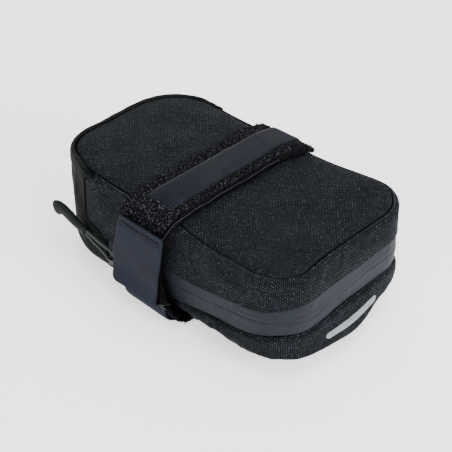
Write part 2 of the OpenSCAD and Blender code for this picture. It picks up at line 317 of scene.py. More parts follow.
def normals_of(grid, closed=False):
    """Unit normals of a grid of points; closed means that its rows join up end to end."""
    if closed:
        du = np.roll(grid, -1, 0) - np.roll(grid, 1, 0)
    else:
        du = np.gradient(grid, axis=0)
    dv = np.gradient(grid, axis=1)
    n = np.cross(du, dv)
    return n / np.maximum(np.linalg.norm(n, axis=-1, keepdims=True), 1e-9)


def weld(piece):
    """Merges the vertices of one piece that share a place."""
    made = bmesh.new()
    made.from_mesh(piece.data)
    bmesh.ops.remove_doubles(made, verts=made.verts, dist=0.02 * MM)
    made.to_mesh(piece.data)
    made.free()
    return piece


def slab(name, grid, thick, uv, materials, closed=False, flip=False, inner=0, level=False):
    """A sheet of that thickness behind a grid of outer points, with rounded edges."""
    n, m = grid.shape[:2]
    count = n * m
    normal = normals_of(grid, closed) * (-1 if flip else 1)
    if level:  # the inner rows close on a line, where a normal has no meaning
        flat = np.array([0, 0, -1.0 if flip else 1.0])
        share = smooth(0.2, 0.5, np.linspace(0, 1, m))[None, :, None]
        normal = normal * (1 - share) + flat * share
        normal /= np.linalg.norm(normal, axis=-1, keepdims=True)
    back = grid - normal * thick
    middle = grid - normal * thick / 2
    number = np.arange(count).reshape(n, m)
    if closed:
        number = np.concatenate([number, number[:1]])
    vertices = [grid.reshape(-1, 3), back.reshape(-1, 3)]
    uvs = [uv.reshape(-1, 2), uv.reshape(-1, 2)]
    faces = [quads(number), quads(number)[:, ::-1] + count]
    every, start = slice(None), 2 * count
    edges = [((every, 0), (every, 1), -1)]
    if not level:
        edges.append(((every, -1), (every, -2), 1))
    if not closed:
        edges += [((0, every), (1, every), 1), ((-1, every), (-2, every), -1)]
    for edge, beside, way in edges:
        away = grid[edge] - grid[beside]
        away /= np.maximum(np.linalg.norm(away, axis=-1, keepdims=True), 1e-9)
        vertices.append(middle[edge] + away * thick * 0.4)
        uvs.append(uv[edge])
        own = start + np.arange(len(away))
        if closed:
            own = np.append(own, start)
        faces.append(quads(np.stack([number[edge], own, number[edge] + count], axis=1))[:, ::way])
        start += len(away)
    slots = np.zeros(sum(map(len, faces)), int)
    slots[len(faces[0]):2 * len(faces[0])] = inner
    faces = np.concatenate(faces)[:, ::-1 if flip else 1].tolist()
    piece = new_object(name, np.concatenate(vertices), faces, np.concatenate(uvs), materials, slots)
    return weld(piece) if level else piece


def tube(name, path, radius, sides, material, flat=1.0, squash_way=(0, 1, 0)):
    """A round or flattened tube along points; radius may be one number per point."""
    path = np.asarray(path, float)
    n = len(path)
    radius = np.broadcast_to(np.asarray(radius, float), (n,))
    tangent = np.gradient(path, axis=0)
    tangent /= np.linalg.norm(tangent, axis=1, keepdims=True)
    side = np.array(squash_way, float)
    rows = []
    for k in range(n):
        side = side - tangent[k] * (side @ tangent[k])
        side /= max(np.linalg.norm(side), 1e-9)
        other = np.cross(tangent[k], side)
        w = np.linspace(0, 2 * math.pi, sides, endpoint=False)
        rows.append(path[k] + radius[k] * (np.outer(np.cos(w), side) * flat + np.outer(np.sin(w), other)))
    faces = tube_quads(n, sides).tolist()
    faces.append(tuple(range(sides))[::-1])
    faces.append(tuple((n - 1) * sides + j for j in range(sides)))
    length = lengths(path)
    uv = [(length[k], j / sides) for k in range(n) for j in range(sides)]
    return new_object(name, np.concatenate(rows), faces, uv, [material])


def joined(name, pieces):
    """One object from several, which it replaces."""
    bpy.ops.object.select_all(action="DESELECT")
    for piece in pieces:
        piece.select_set(True)
    bpy.context.view_layer.objects.active = pieces[0]
    bpy.ops.object.join()
    pieces[0].name = name
    pieces[0].data.name = name
    return pieces[0]


# ---- Materials ----


class Nodes:
    """A material's node tree, built by short calls. i0, i1 and so on are a node's inputs by number."""

    def __init__(self, name):
        self.material = bpy.data.materials.new(name)
        self.material.use_nodes = True
        self.tree = self.material.node_tree
        self.shader = self.tree.nodes["Principled BSDF"]

    def add(self, kind, **inputs):
        node = self.tree.nodes.new(kind)
        for key, value in inputs.items():
            self.plug(node, key, value)
        return node

    def plug(self, node, key, value):
        socket = node.inputs[int(key[1:])] if key[0] == "i" and key[1:].isdigit() else node.inputs[key]
        if isinstance(value, bpy.types.NodeSocket):
            self.tree.links.new(value, socket)
        else:
            socket.default_value = value

    def math(self, operation, a, b=0.0, c=0.0):
        node = self.add("ShaderNodeMath", i0=a, i1=b, i2=c)
        node.operation = operation
        return node.outputs[0]

    def position(self):
        """Length along and across the cloth, in millimetres."""
        uv = self.tree.nodes.new("ShaderNodeUVMap")
        uv.uv_map = "cloth"
        parts = self.add("ShaderNodeSeparateXYZ", Vector=uv.outputs[0])
        return uv.outputs[0], parts.outputs[0], parts.outputs[1]

    def place(self):
        """Place on the object, in metres."""
        return self.tree.nodes.new("ShaderNodeTexCoord").outputs["Object"]

    def noise(self, vector, scale, detail, rough=0.55):
        node = self.add("ShaderNodeTexNoise", Vector=vector, Scale=scale, Detail=detail, Roughness=rough)
        return node.outputs[0]

    def ramp(self, value, low, high, start=0.0, end=1.0):
        """low where the value is start, high where it is end, and even between them."""
        node = self.add("ShaderNodeMapRange", Value=value)
        for key, number in (("From Min", start), ("From Max", end), ("To Min", low), ("To Max", high)):
            node.inputs[key].default_value = number
        return node.outputs[0]

    def mix(self, share, a, b):
        node = self.tree.nodes.new("ShaderNodeMix")
        node.data_type = "RGBA"
        self.plug(node, "i0", share)
        for index, value in ((6, a), (7, b)):
            if isinstance(value, bpy.types.NodeSocket):
                self.tree.links.new(value, node.inputs[index])
            else:
                node.inputs[index].default_value = (*value, 1)
        return node.outputs[2]

    def bump(self, height, distance):
        node = self.add("ShaderNodeBump", Height=height, Strength=1.0, Distance=distance)
        self.tree.links.new(node.outputs[0], self.shader.inputs["Normal"])

    def finish(self, colour, rough, shine=0.22, **fixed):
        self.plug(self.shader, "Base Color", colour)
        self.plug(self.shader, "Roughness", rough)
        for key, value in fixed.items():
            self.shader.inputs[key.replace("_", " ")].default_value = value
        self.shader.inputs["Specular IOR Level"].default_value = shine
        return self.material


def times(colour, factor):
    """A colour made brighter or darker."""
    return tuple(factor * c for c in colour)


def woven(name, dark, light, pitch, depth, glint_share=0.5):
    """Plain weave: over and under yarns with rounded tops and uneven yarns. Painted shade darkens the tone
    between and under the yarns, and painted glints brighten some of their tops.
    """
    n = Nodes(name)
    vector, u, v = n.position()
    wander = n.noise(vector, 0.09, 2.0)
    u = n.math("ADD", u, n.math("MULTIPLY", wander, 0.9))
    across = n.math("DIVIDE", u, pitch)
    along = n.math("DIVIDE", v, pitch)
    odd = n.math("MODULO", n.math("ADD", n.math("FLOOR", across), n.math("FLOOR", along)), 2.0)
    odd = n.math("ABSOLUTE", odd)
    top_u = n.math("ABSOLUTE", n.math("SINE", n.math("MULTIPLY", across, math.pi)))
    top_v = n.math("ABSOLUTE", n.math("SINE", n.math("MULTIPLY", along, math.pi)))
    warp = n.math("MULTIPLY", top_u, n.math("MULTIPLY_ADD", top_v, 0.45, 0.55))
    weft = n.math("MULTIPLY", top_v, n.math("MULTIPLY_ADD", top_u, 0.45, 0.55))
    over = n.math("MULTIPLY", warp, n.math("SUBTRACT", 1.0, odd))
    under = n.math("MULTIPLY", n.math("MULTIPLY", weft, odd), 0.62)
    height = n.math("ADD", over, under)
    fibre = n.noise(vector, 3.2, 4.0, 0.7)
    patch = n.noise(vector, 0.05, 3.0)
    # Painted shade: the tone falls with the yarns' height, darkest in the gaps and on the lower yarns.
    tone = n.math("MULTIPLY", n.math("POWER", height, 1.6), n.ramp(fibre, 0.55, 1.25, 0.3, 0.7))
    tone = n.math("MULTIPLY", tone, n.ramp(patch, 0.75, 1.2, 0.3, 0.7))
    cell = n.add("ShaderNodeCombineXYZ", X=n.math("FLOOR", across), Y=n.math("FLOOR", along))
    own = n.add("ShaderNodeTexWhiteNoise", Vector=cell.outputs[0]).outputs["Value"]
    tone = n.math("MULTIPLY", tone, n.ramp(own, 0.45, 1.45))
    colour = n.mix(tone, dark, light)
    # Painted highlights: bright glints on the tops of some yarns.
    painted_glint = n.math("MULTIPLY", n.ramp(own, 0.0, glint_share, 0.86, 1.0), n.math("POWER", height, 2.0))
    colour = n.mix(painted_glint, colour, times(light, 3.0))
    n.bump(n.math("ADD", height, n.math("MULTIPLY", fibre, 0.35)), depth * MM)
    rough = n.ramp(height, 0.85, 0.58)
    return n.finish(colour, rough, shine=0.06)


def coated(name, colour, rough, shine):
    """Smooth coated cloth or moulded skin: faint grain, cloudy tone and rubbed patches."""
    n = Nodes(name)
    vector, _, _ = n.position()
    cloud = n.noise(vector, 0.12, 4.0)
    grain_height = n.noise(vector, 2.6, 3.0, 0.6)
    rub = n.ramp(n.noise(vector, 0.35, 5.0, 0.7), 0.0, 1.0, 0.55, 0.75)
    tone = n.ramp(cloud, 0.88, 1.12, 0.3, 0.7)
    base = n.mix(n.ramp(tone, 0.0, 1.0, 0.8, 1.2), times(colour, 0.8), times(colour, 1.25))
    base = n.mix(n.math("MULTIPLY", rub, 0.25), base, times(colour, 1.5))
    n.bump(n.math("ADD", grain_height, n.math("MULTIPLY", cloud, 0.8)), 0.02 * MM)
    return n.finish(base, n.ramp(grain_height, rough - 0.06, rough + 0.08, 0.3, 0.7), shine=shine)


def pile(name, dark, light):
    """Brushed loops: nearly black, with pale spots painted where a loop catches the light, as painted
    highlights.
    """
    n = Nodes(name)
    place = n.place()
    fleck = n.noise(place, 1150.0, 3.0, 0.7)
    knot = n.noise(place, 2100.0, 2.0, 0.6)
    tone = n.math("MULTIPLY", n.ramp(fleck, 0.0, 1.0, 0.52, 0.7), n.ramp(knot, 0.2, 1.0, 0.4, 0.65))
    _, _, v = n.position()
    # Fewer painted highlights on the loop-free strip along the band's front edge.
    tone = n.math("MULTIPLY", tone, n.ramp(v, 1.0, 0.12, 31.2, 31.8))
    n.bump(n.math("ADD", fleck, knot), 0.5 * MM)
    return n.finish(n.mix(tone, dark, light), n.ramp(fleck, 0.9, 0.5), shine=0.04)


RIB_PITCH = 1.05


def ribbed_cloth(name, colour):
    """The grip strip. Its ribs are in the mesh, one for each RIB_PITCH of u, with painted shade in the
    valleys and painted highlights on the crests.
    """
    n = Nodes(name)
    vector, u, _ = n.position()
    cloud = n.noise(vector, 0.2, 3.0)
    grain = n.noise(vector, 3.5, 3.0, 0.6)
    # Painted shade and highlights: the tone follows the ribs, darkest in the valleys.
    rib = n.math("COSINE", n.math("MULTIPLY", u, 2 * math.pi / RIB_PITCH))
    tone = n.math("MULTIPLY", n.ramp(rib, 0.0, 1.0, -1.0, 0.6), n.ramp(cloud, 0.6, 1.1, 0.3, 0.7))
    base = n.mix(tone, times(colour, 0.12), times(colour, 1.7))
    n.bump(grain, 0.06 * MM)
    return n.finish(base, n.ramp(grain, 0.42, 0.6), shine=0.09)


def braid(name, dark, light, pitch=1.1):
    """A braided sheath: two sets of slanting strands, with painted shade in the grooves between them."""
    n = Nodes(name)
    _, u, v = n.position()
    turn = n.math("MULTIPLY", v, 2 * math.pi)
    wind = n.math("MULTIPLY", u, 2 * math.pi / pitch)
    one = n.math("SINE", n.math("ADD", n.math("MULTIPLY", turn, 3.0), wind))
    two = n.math("SINE", n.math("SUBTRACT", n.math("MULTIPLY", turn, 3.0), wind))
    height = n.math("MAXIMUM", one, two)
    n.bump(height, 0.12 * MM)
    # Painted shade: the colour darkens with the strands' depth.
    return n.finish(n.mix(n.ramp(height, 0.0, 1.0, 0.0, 1.0), dark, light), 0.6)


def plain(name, colour, rough, metal=0.0, wear=0.0):
    """Moulded plastic or painted metal: fine grain, uneven tone and a little wear."""
    n = Nodes(name)
    place = n.place()
    grain_height = n.noise(place, 900.0, 3.0, 0.6)
    cloud = n.noise(place, 60.0, 3.0)
    base = n.mix(n.ramp(cloud, 0.0, 1.0, 0.3, 0.7), times(colour, 0.8), times(colour, 1.25))
    scuff = n.ramp(n.noise(place, 260.0, 5.0, 0.75), 0.0, wear, 0.58, 0.7)
    base = n.mix(scuff, base, tuple(min(1, c * 3 + 0.02) for c in colour))
    n.bump(grain_height, 0.03 * MM)
    return n.finish(base, n.ramp(cloud, rough - 0.07, rough + 0.07, 0.3, 0.7), Metallic=metal, shine=0.2)


def reflective(name):
    """A reflective print: pale grey with a fine honeycomb and small worn spots."""
    n = Nodes(name)
    vector, _, _ = n.position()
    cells = n.add("ShaderNodeTexVoronoi", Vector=vector, Scale=1.1)
    cells.feature = "DISTANCE_TO_EDGE"
    edge = n.ramp(cells.outputs["Distance"], 0.0, 1.0, 0.02, 0.12)
    worn = n.ramp(n.noise(vector, 0.8, 4.0, 0.7), 1.0, 0.0, 0.62, 0.72)
    base = n.mix(edge, (0.12, 0.13, 0.15), (0.2, 0.215, 0.24))
    base = n.mix(worn, (0.04, 0.045, 0.05), base)
    n.bump(edge, 0.05 * MM)
    return n.finish(base, 0.42)


def floor_material():
    """White floor that glows a little, so that its far parts stay white."""
    n = Nodes("studio_floor")
    cloud = n.noise(n.place(), 3.0, 2.0)
    n.shader.inputs["Emission Color"].default_value = (1, 1, 1, 1)
    return n.finish(n.mix(cloud, (0.93, 0.93, 0.93), (0.95, 0.95, 0.95)), 0.9, Emission_Strength=1.0)


CLOTH = woven("ribbed_polyester", (0.0003, 0.0004, 0.0005), (0.0266, 0.031, 0.04), 0.88, 0.4)
SMOOTH = woven("rear_cloth", (0.0014, 0.0019, 0.002), (0.0048, 0.0066, 0.0072), 0.42, 0.06, glint_share=0.1)
# A lighter copy of the rear cloth for the rim over the top edge: painted light where the lamps leave the rim
# dark.
RIM_LIT_COPY = woven("rear_cloth_lit_copy", (0.005, 0.006, 0.0055), (0.0145, 0.0168, 0.016), 0.42, 0.06, glint_share=0.1)
# The lining, darkened as painted shade so that gaps into the bag look dark.
LINING_DARKENED = woven("lining_painted_shade", (0.0012, 0.0013, 0.0016), (0.008, 0.009, 0.011), 0.55, 0.1, glint_share=0.1)
TAPE = coated("zip_coating", (0.0128, 0.0148, 0.0198), 0.5, 0.06)
STRAP = coated("strap_coating", (0.012, 0.0142, 0.0208), 0.56, 0.02)
PILE = pile("loop_pile", (0.0012, 0.0013, 0.0018), (0.15, 0.16, 0.185))
HOOKS = pile("hook_face", (0.008, 0.008, 0.009), (0.05, 0.05, 0.055))
RIBS = ribbed_cloth("grip_strip", (0.0072, 0.008, 0.0135))
THREAD = braid("dark_thread", (0.0004, 0.0004, 0.0005), (0.002, 0.002, 0.0025), 0.5)
PALE_THREAD = braid("pale_thread", (0.09, 0.09, 0.095), (0.26, 0.26, 0.27), 0.5)
EDGE_THREAD = braid("edge_thread", (0.018, 0.02, 0.024), (0.075, 0.08, 0.09), 0.5)
CORD = braid("pull_braid", (0.008, 0.01, 0.01), (0.05, 0.057, 0.056))
RUBBER = coated("grip_rubber", (0.0032, 0.0045, 0.0048), 0.6, 0.1)
NYLON = plain("coil_nylon", (0.012, 0.012, 0.013), 0.4)
PAINT = plain("slider_paint", (0.02, 0.02, 0.022), 0.35, metal=0.4, wear=0.5)
STEEL = plain("stop_metal", (0.25, 0.25, 0.26), 0.35, metal=1.0, wear=0.2)
MARK = reflective("reflective_print")


# ---- Panels of the bag ----

WALL_T = 1.1
CLOTH_FRAMES = 20
HELD_BELOW = 0.25  # cloth less free than this doesn't move in the simulation


def spread(count, sharp=0.0):
    """Shares from 0 to 1, closer together at both ends."""
    t = np.linspace(0, 1, count)
    return (1 - sharp) * t + sharp * (0.5 - 0.5 * np.cos(math.pi * t))


def crumple(grid, fine, broad, seed, fade=1.0):
    """Pushes a grid in and out along its normals by small and broad soft waves."""
    wave = fine * ripple(grid, 9, seed) + broad * ripple(grid, 34, seed + 1)
    return grid + normals_of(grid) * (wave * fade)[..., None]


def soft_steps(count, knots):
    """Weights that spread values at even knots smoothly over count places."""
    at = np.linspace(0, knots - 1, count)[:, None] - np.arange(knots)[None, :]
    t = np.abs(at)
    weight = np.where(t < 1, (4 - 6 * t ** 2 + 3 * t ** 3) / 6, np.maximum(2 - t, 0) ** 3 / 6)
    return weight / weight.sum(axis=1, keepdims=True)


def relax(grid, free, slack, pressure, cap, cells=(150, 9)):
    """Cloth held at its seams takes up its slack: a coarse copy is simulated, and the grid follows it.

    free is 1 where the cloth may move and 0 where it is held; slack is how much longer it was cut."""
    n, m = grid.shape[:2]
    a, b = cells
    rows = np.linspace(0, n - 1, a).round().astype(int)
    columns = np.linspace(0, m - 1, b).round().astype(int)
    coarse = grid[np.ix_(rows, columns)]
    loose = free[np.ix_(rows, columns)] >= HELD_BELOW
    loose[[0, -1], :] = False
    loose[:, [0, -1]] = False
    starts = [i * b + j for i in range(a - 1) for j in range(b - 1)]
    cloth = new_object("slack_cloth", coarse.reshape(-1, 3), [(k, k + b, k + b + 1, k + 1) for k in starts])
    held = np.flatnonzero(~loose.ravel()).tolist()
    cloth.vertex_groups.new(name="held").add(held, 1.0, "REPLACE")
    made = cloth.modifiers.new("slack", "CLOTH")
    made.settings.quality = 6
    made.settings.mass = 0.3
    made.settings.vertex_group_mass = "held"
    made.settings.shrink_min = -slack
    made.settings.effector_weights.gravity = 0
    made.settings.use_pressure = True
    made.settings.uniform_pressure_force = pressure
    made.collision_settings.use_collision = False
    for step in range(1, CLOTH_FRAMES + 1):
        scene.frame_set(step)
    shape = cloth.evaluated_get(bpy.context.evaluated_depsgraph_get()).to_mesh()
    moved = np.zeros(len(shape.vertices) * 3)
    shape.vertices.foreach_get("co", moved)
    scene.frame_set(1)
    bpy.data.objects.remove(cloth)
    shift = moved.reshape(a, b, 3) / MM - coarse
    size = np.linalg.norm(shift, axis=-1, keepdims=True)
    shift = shift * np.minimum(1, cap / np.maximum(size, 1e-6))
    fine = np.einsum("ia,jb,abk->ijk", soft_steps(n, a), soft_steps(m, b), shift)
    return grid + fine * free[..., None]


def off_strap(x):
    """0 under the strap, 1 away from it."""
    return smooth(band_high[0], band_high[0] + 4.0, np.abs(x))


def turned_front(s):
    """0 on the straight sides, 1 on the front."""
    return np.maximum(outline(s)[2], 0) ** 2


def upper_edge(s):
    """Height of the upper wall's folded edge, which hangs further over the tape towards the front."""
    x, y, _, _ = outline(s)
    across = 3.2 * smooth(-46, -26, y) - 2.2 * smooth(-14, 10, y)
    hang = 4.3 * smooth(-6, 26, x) - across * smooth(56, 74, x)
    return zip_z(x) + ZIP_HALF - 0.7 - hang


def side_panel_upper():
    """Woven wall above the zip, from the rear panel's seam round the front to the other side."""
    columns, rows = 760, 34
    a = spread(columns, 0.25)[:, None]
    b = spread(rows, 0.9)[None, :]
    z = SEAM_Z * b + (1 - b) * 30 + 0 * a
    for _ in range(8):  # the slanted seam's place and the edge's height depend on each other
        start = left_s(rear_seam_x(z))
        s = start + a * (ROUND - 2 * start)
        low = upper_edge(s)
        z = low + b * (SEAM_Z - low)
    top, bottom = SEAM_Z - z, z - low
    side = np.minimum(a, 1 - a) * (ROUND - 2 * start)
    x, y, _, _ = outline(s)
    front = turned_front(s)
    puff = (0.12 + 0.6 * front) * (1 - np.exp(-top / 4)) * (1 - np.exp(-bottom / 4))
    tuck = 1.25 - 0.9 * smooth(10, 34, x) * smooth(-16, -38, y) + 0.9 * smooth(50, 70, x) * smooth(0, 30, y)
    out = 0.1 + puff - tuck * hump(top, 1.0) - 1.1 * hump(side, 0.6)
    out += 0.25 * hump(bottom - 0.9, 0.8) - 0.3 * hump(bottom, 0.5)
    out += 0.1 * np.sin(s * 2 * math.pi / 5.2 + 1.2 * np.sin(s / 17)) * np.exp(-top / 3) * front
    grid = crumple(wall(s, up_to(z), out), 0.07, 0.16, 11, fade=1 - np.exp(-np.minimum(top, bottom) / 2))
    free = smooth(0.5, 3, np.minimum(top, side)) * smooth(3, 9, bottom) * off_strap(x)
    grid = relax(grid, free, 0.03, 0.5, 0.8)
    return slab("side_panel_upper", grid, WALL_T, stacked(s, z), [CLOTH, LINING_DARKENED], inner=1)


def lower_puff(s, p, high):
    """How far the lower wall swells out between its seams."""
    return (0.15 + 1.2 * turned_front(s)) * (1 - np.exp(-(high - p) / 2.5)) * (1 - np.exp(-p / 4))


def lower_skin(s, p, high, out):
    """The lower wall's surface, with its slight creases."""
    top = high - p
    out = out + 0.35 * hump(top - 1.9, 1.2) * turned_front(s)
    out += 0.16 * np.sin(s * 2 * math.pi / 6.1 + np.sin(s / 13)) * np.exp(-top / 4) * turned_front(s)
    return crumple(wall(s, p, out), 0.08, 0.3, 21, fade=1 - np.exp(-np.minimum(top, p) / 2))


def side_panel_lower():
    """Woven wall below the zip, turned in under the bag at its foot."""
    columns, rows = 760, 40
    a = spread(columns, 0.25)[:, None]
    b = spread(rows, 0.8)[None, :]
    start = left_s(ZIP_END_X)
    s = start + a * (ROUND - 2 * start) + 0 * b
    high = up_to(lower_edge(s))
    p = b * high
    top = high - p
    side = np.minimum(a, 1 - a) * (ROUND - 2 * start)
    seams = 1.0 * hump(top, 0.8) + 0.7 * hump(p, 0.9) + 1.1 * hump(side, 1.0)
    grid = lower_skin(s, p, high, 0.15 + lower_puff(s, p, high) - seams)
    x, y, nx, _ = outline(s)
    free = smooth(0.5, 3, np.minimum(np.minimum(top, p), side)) * off_strap(x)
    free = free * (1 - smooth(0.5, 0.9, nx) * smooth(34, 28, np.abs(y)))  # held under the bar
    grid = relax(grid, free, 0.03, 0.5, 1.0)
    return slab("side_panel_lower", grid, WALL_T, stacked(s, p), [CLOTH, LINING_DARKENED], inner=1)


def rear_wall():
    """Smooth panel round the rear, turned over the top edge as a narrow rim."""
    columns, rows = 520, 56
    a = spread(columns, 0.3)[:, None]
    height = SEAM_Z * spread(rows, 0.5)[None, :]
    half = left_s(rear_seam_x(height))
    s = (2 * a - 1) * half
    p = up_to(height) + 0 * a
    top = SEAM_Z - height + 0 * a
    side = np.minimum(a, 1 - a) * 2 * half
    behind = smooth(-58, -72, outline(s)[0])
    out = 0.1 + 1.0 * behind * (1 - np.exp(-top / 6)) * (1 - np.exp(-p / 6))
    out += -0.8 * hump(p, 0.9) - 1.0 * hump(side, 0.6) + 0.25 * hump(side - 1.3, 0.9)
    sag = 0.16 * behind * ripple(wall(s, p, out), 26, 31)
    body = wall(s, p, out + sag * (1 - np.exp(-top / 8)))
    full = smooth(0, 14, side[:, -1])
    turn = ((0.1, 0.8), (0.6, 1.5), (1.3, 1.85), (2.0, 1.8), (2.55, 1.1), (2.7, -1.6))
    rim = [inside(s[:, -1], inset, SEAM_Z - 1 + (lift + 1) * full - 0.6 * (1 - full)) for inset, lift in turn]
    grid = np.concatenate([body, settle(np.stack(rim, axis=1))], axis=1)
    grid = crumple(grid, 0.05, 0.12, 32)
    gap = np.concatenate([np.minimum(np.minimum(top, p), side), np.zeros((columns, len(turn)))], axis=1)
    grid = relax(grid, smooth(0.5, 4, gap), 0.005, 0.4, 0.6, (110, 18))
    extra = np.arange(1, len(turn) + 1)[None, :] * 0.7
    v = np.concatenate([p, p[:, -1:] + extra], axis=1)
    u = np.concatenate([s, np.repeat(s[:, -1:], len(turn), axis=1)], axis=1)
    piece = slab("rear_wall", grid, WALL_T, stacked(u, v), [SMOOTH, LINING_DARKENED, RIM_LIT_COPY], inner=1)
    # Faces over the top edge take the lighter copy of the rear cloth: painted light on the rim.
    for face in piece.data.polygons:
        if face.center.z > (SEAM_Z + 0.9) * MM:
            face.material_index = 2
    return piece


def round_samples(count):
    """Even places round the whole outline, the same on the left as on the right."""
    return (np.arange(count) + 0.5) * ROUND / count


def inside(s, inset, z):
    """A row of points at height z, inset inside the outline."""
    x, y, nx, ny = outline(s)
    return stacked(x - nx * inset, y - ny * inset, z)


def closed_in(s, rows, height, count):
    """Rows of a rim, and more rows from the last of them to a line along the bag's middle, as one grid."""
    x = np.clip(outline(s)[0], REAR_X + 40, FRONT_X - 40)
    middle = stacked((x + x[::-1]) / 2, 0 * x, height)
    outer = rows[-1]
    return np.stack(rows + [outer * (1 - share) + middle * share for share in spread(count)[1:]], axis=1)


def by_row(grid, start, end):
    """0 for the outermost rows of a grid and 1 for the inner ones."""
    return smooth(start, end, np.arange(grid.shape[1]))[None, :]


def unrolled(grid, s):
    """Places on the flat cloth of a sheet that turns down at its rim: seen from above, but true to length."""
    last = 12  # the innermost row of the rim
    steps = np.linalg.norm(np.diff(grid, axis=1), axis=-1)
    inward = np.concatenate([np.zeros((len(s), 1)), np.cumsum(steps, axis=1)], axis=1)
    flat = np.linalg.norm(grid[:, last, :2] - stacked(*outline(s)[:2]), axis=-1)[:, None]
    rim = inside(s[:, None], inward - inward[:, last:last + 1] + flat, 0)[..., :2]
    share = by_row(grid, 9, last)[..., None]
    return rim * (1 - share) + grid[..., :2] * share


def rear_share(s):
    """1 along the rear panel's stretch of the outline, 0 along the gusset's."""
    x = outline(s)[0]
    return 1 - smooth(-46, -43.4, x)


def top_pad():
    """Padded top: woven outside, foam within and lining below, thin where it meets its seam."""
    s = round_samples(620)
    x, y, _, _ = outline(s)
    first = 2.75 + 0.2 * rear_share(s) - 1.3 * smooth(10, 34, x) * smooth(-16, -38, y)
    first = first + 0.9 * smooth(50, 70, x) * smooth(0, 30, y)
    edge = ((1.0, -4.2), (0.4, -3.0), (0.1, -1.8), (0.0, -0.7), (0.12, 0.2), (0.5, 0.85), (1.4, 1.35),
            (2.8, 1.72), (4.5, 2.05), (6.6, 2.35), (9.1, 2.62), (12.1, 2.82), (16, 2.95))
    rows = [inside(s, first + inset, SEAM_Z + lift) for inset, lift in edge]
    grid = closed_in(s, rows, CROWN_Z + 0.25, 16)
    number = np.arange(grid.shape[1])
    depth = np.minimum(number / 6.0, 1)[None, :]
    off = np.abs(grid[..., 0])
    pressed = 1 - smooth(band_high[0] - 1.5, band_high[0] + 3.5, off)
    grid[..., 2] -= 0.75 * pressed * depth
    grid[..., 2] -= 0.35 * np.exp(-((off - 24) / 9) ** 2) * depth * (1 - pressed)
    wave = 0.07 * ripple(grid, 9, 41) + 0.16 * ripple(grid, 36, 42)
    wave += 0.1 * np.sin(s * 2 * math.pi / 5.0 + 1.5 * np.sin(s / 19))[:, None] * hump(number - 5, 3)
    grid[..., 2] += wave * by_row(grid, 0, 6)
    uv = unrolled(grid, s)
    return slab("top_pad", settle(grid), 4.6, uv, [CLOTH, LINING_DARKENED], closed=True, inner=1, level=True)


def base_panel():
    """Woven bottom, sewn to the walls where they turn under, with a hollow for the strap."""
    s = round_samples(620)
    edge = ((-0.4, 1.7), (0.0, 0.9), (0.5, 0.25), (1.4, 0.0), (3.0, 0.0), (5.5, 0.0), (8.5, 0.0))
    grid = closed_in(s, [inside(s, EDGE_R + inset, z) for inset, z in edge], 0, 14)
    grid[..., 2] += channel(grid[..., 0], grid[..., 2])
    grid[..., 2] += 0.12 * np.abs(ripple(grid, 30, 51)) * by_row(grid, 3, 7)
    uv = unrolled(grid, s)
    grid = settle(grid)
    return slab("base_panel", grid, 1.0, uv, [CLOTH, LINING_DARKENED], closed=True, flip=True, inner=1, level=True)


def base_liner():
    """Lined stiffening board on the floor of the compartment."""
    s = round_samples(420)
    z = board_high[2]
    edge = ((3.4, z - 0.9), (3.5, z - 0.2), (4.2, z), (8.0, z))
    grid = closed_in(s, [inside(s, inset, height) for inset, height in edge], z, 12)
    grid[..., 2] += 0.1 * ripple(grid, 24, 61) * by_row(grid, 2, 6)
    return slab("base_liner", settle(grid), 1.2, grid[..., :2].copy(), [LINING_DARKENED], closed=True, level=True)


def binding(name, x_from, z_low, z_high, seed):
    """Tape folded over raw seam edges inside the bag, standing a little off the wall."""
    start = left_s(x_from)
    s = np.linspace(start, ROUND - start, 420)[:, None]
    z = np.linspace(z_low, z_high, 9)[None, :]
    across = np.linspace(-1, 1, 9)[None, :]
    out = -(WALL_T + 1.1) + 0.3 * across ** 2 + 0.12 * np.sin(s * 2 * math.pi / 3.1 + seed) * across
    grid = wall(s + 0 * z, up_to(z + 0 * s), out)
    return slab(name, grid, 0.7, stacked(s, z), [LINING_DARKENED])


# ---- Zip ----

COIL_PITCH = 1.3


def zip_tape(name, side, seed):
    """One coated tape. The coil behind it shows as two rows of small ridges beside the slit."""
    columns, rows = 1900, 18
    start = left_s(ZIP_END_X + 0.3)
    s = np.linspace(start, ROUND - start, columns)[:, None]
    t = spread(rows, 0.7)[None, :]
    x, y, _, _ = outline(s)
    slit = slit_z(x)
    if side > 0:
        reach = zip_z(x) + ZIP_HALF + 0.5 - slit
        fold = 0.35 * hump((1 - t) * (reach - 0.04), 0.9)
    else:
        reach = slit - lower_edge(s) + 1.2
        fold = 2.4 * hump((1 - t) * (reach - 0.04), 1.5)
    away = 0.04 + t * (reach - 0.04)
    turn = turned_front(s)
    z = slit + side * away
    tooth = 0.5 + 0.5 * np.cos(s * 2 * math.pi / COIL_PITCH)
    corner = spot(x, y, (72, -38), 14.0)
    coil = hump(away - 1.75, 0.75) * (0.08 + tooth * (0.03 + 0.05 * turn + 0.36 * corner))
    belly = 0.55 * turn * (1 - (away / reach) ** 2)
    lip = 0.14 * (1 - 0.6 * turn) * hump(away - 0.04, 0.22)
    grid = wall(s + 0 * t, up_to(z), belly + coil - fold - lip - 0.5)
    wave = 0.03 * ripple(grid, 6, seed) + 0.07 * turn * ripple(grid, 22, seed + 1)
    grid = grid + normals_of(grid) * wave[..., None]
    return slab(name, grid, 0.6, stacked(s, z), [TAPE, NYLON], flip=side < 0, inner=1)


